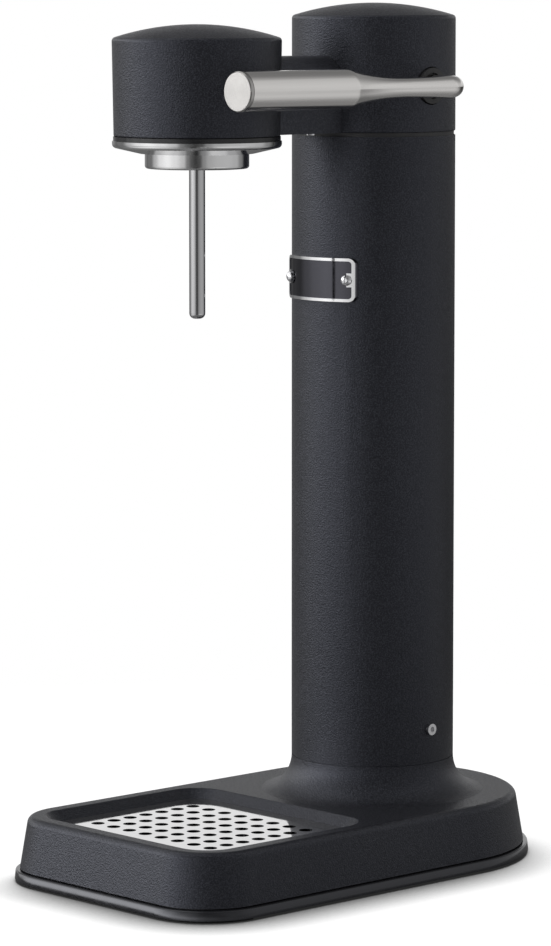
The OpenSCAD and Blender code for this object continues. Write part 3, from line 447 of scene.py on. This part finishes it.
lamp("card", at=(0.37, 0.38, 0.62), towards=(0.06, 0.05, 0.62), width=0.3, height=0.55,
     power=0.05, mirrored=True)
lamp("above", at=(0, 0, 1.6), towards=(0, 0, 0), width=2.4, height=2.4,
     power=24, mirrored=False)
world = bpy.data.worlds.new("room")
bpy.context.scene.world = world
world.use_nodes = True
tree = world.node_tree
direction = tree.nodes.new("ShaderNodeTexCoord").outputs["Generated"]
around = tree.nodes.new("ShaderNodeTexGradient")
around.gradient_type = "RADIAL"
tree.links.new(direction, around.inputs["Vector"])
upness = part_of(tree, direction, "Z")
gradient_at_front = 0.25
camera_heading = 46.9


def cloth(levels):
    """Brightness round the tent: levels by the angle in degrees to the right of the camera, whose heading
    is counted from the front."""
    ramp = tree.nodes.new("ShaderNodeValToRGB")
    ramp.color_ramp.interpolation = "EASE"
    start = gradient_at_front + camera_heading / 360
    stops = sorted(((start + turn / 360) % 1, level) for turn, level in levels)
    points = ramp.color_ramp.elements
    while len(points) < len(stops):
        points.new(0.5)
    for point, (spot, level) in zip(points, stops):
        point.position = spot
        point.color = (level, level, level, 1)
    tree.links.new(around.outputs["Fac"], ramp.inputs["Fac"])
    return ramp.outputs["Color"]


# Each row is a ring of the tent: how far up its directions point, then its levels for cloth.
tent = (
    (-0.60, ((-180, 0.20), (-120, 0.30), (-95, 0.90), (-70, 1.05), (-45, 0.80), (-20, 0.22), (0, 0.04),
             (15, 0.20), (40, 0.45), (87, 0.42), (116, 0.28), (140, 0.15))),
    (-0.38, ((-180, 0.15), (-121, 0.20), (-105, 0.68), (-70, 1.00), (-48, 0.80), (-29, 0.50), (-20, 0.22),
             (0, 0.04), (16, 0.34), (40, 0.85), (66, 0.80), (82, 0.56), (95, 0.54), (113, 0.40),
             (131, 0.10))),
    (-0.15, ((-180, 0.12), (-160, 0.18), (-140, 0.14), (-121, 0.18), (-100, 0.46), (-70, 0.72), (-44, 0.66),
             (-29, 0.48), (-20, 0.20), (0, 0.05), (16, 0.24), (40, 0.44), (74, 0.52), (98, 0.46),
             (113, 0.24), (131, 0.04))),
    (-0.03, ((-180, 0.18), (-160, 0.30), (-140, 0.16), (-121, 0.20), (-105, 0.58), (-88, 1.00), (-68, 1.18),
             (-48, 0.96), (-29, 0.66), (-20, 0.24), (-11, 0.10), (-2, 0.05), (7, 0.08), (16, 0.30),
             (27, 0.47), (50, 0.56), (74, 0.58), (98, 0.52), (113, 0.27), (131, 0.04))),
    (0.05, ((-180, 0.60), (-150, 0.55), (-125, 1.20), (-105, 3.10), (-85, 3.90), (-66, 3.40), (-52, 2.80),
            (-37, 2.20), (-24, 1.65), (-11, 1.10), (0, 0.70), (27, 0.36), (55, 0.30), (92, 0.46),
            (115, 0.50), (135, 0.60))),
    (0.19, ((-180, 0.95), (-150, 0.80), (-125, 1.60), (-95, 3.80), (-70, 2.70), (-45, 1.45), (-25, 0.70),
            (-10, 0.36), (0, 0.24), (20, 0.18), (45, 0.36), (75, 0.48), (105, 0.50), (125, 0.52),
            (150, 0.80))),
    (0.33, ((-180, 0.20), (-140, 0.45), (-110, 2.00), (-90, 3.00), (-65, 1.90), (-40, 0.80), (0, 0.18),
            (45, 0.34), (75, 0.48), (105, 0.50), (140, 0.28))),
    (0.62, ((-180, 0.15), (-137, 0.45), (-90, 1.00), (-40, 0.40), (0, 0.14), (45, 0.26), (100, 0.42),
            (140, 0.18))),
)
below, levels = tent[0]
room = cloth(levels)
for height, levels in tent[1:]:
    room = tint(tree, spread(tree, upness, 0, 1, below, height), room, cloth(levels))
    below = height
shade = tree.nodes["Background"]
shade.inputs["Strength"].default_value = 1
tree.links.new(room, shade.inputs["Color"])
clear = tree.nodes.new("ShaderNodeBackground")
clear.inputs["Color"].default_value = (1, 1, 1, 1)
path = tree.nodes.new("ShaderNodeLightPath")
choose = tree.nodes.new("ShaderNodeMixShader")
tree.links.new(path.outputs["Is Camera Ray"], choose.inputs["Fac"])
tree.links.new(shade.outputs["Background"], choose.inputs[1])
tree.links.new(clear.outputs["Background"], choose.inputs[2])
tree.links.new(choose.outputs["Shader"], tree.nodes["World Output"].inputs["Surface"])

# Camera: the photograph's view, from the right front and a little above, with a long lens.
# Its place, its turn and its tilt are fitted to the edges of the machine in the photograph.
tilt_down = 0.09380
turn_left = 0.81714
camera = bpy.data.objects.new("camera", bpy.data.cameras.new("camera"))
camera.location = (1.45657, -1.37940, 0.42344)
camera.rotation_euler = (math.pi / 2 - tilt_down, 0, turn_left)
camera.data.sensor_width = 36
camera.data.lens = 160.65
camera.data.shift_y = -0.0983
camera.data.clip_end = 50
bpy.context.scene.collection.objects.link(camera)
bpy.context.scene.camera = camera
bpy.context.scene.view_settings.view_transform = "Standard"

low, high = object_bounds()
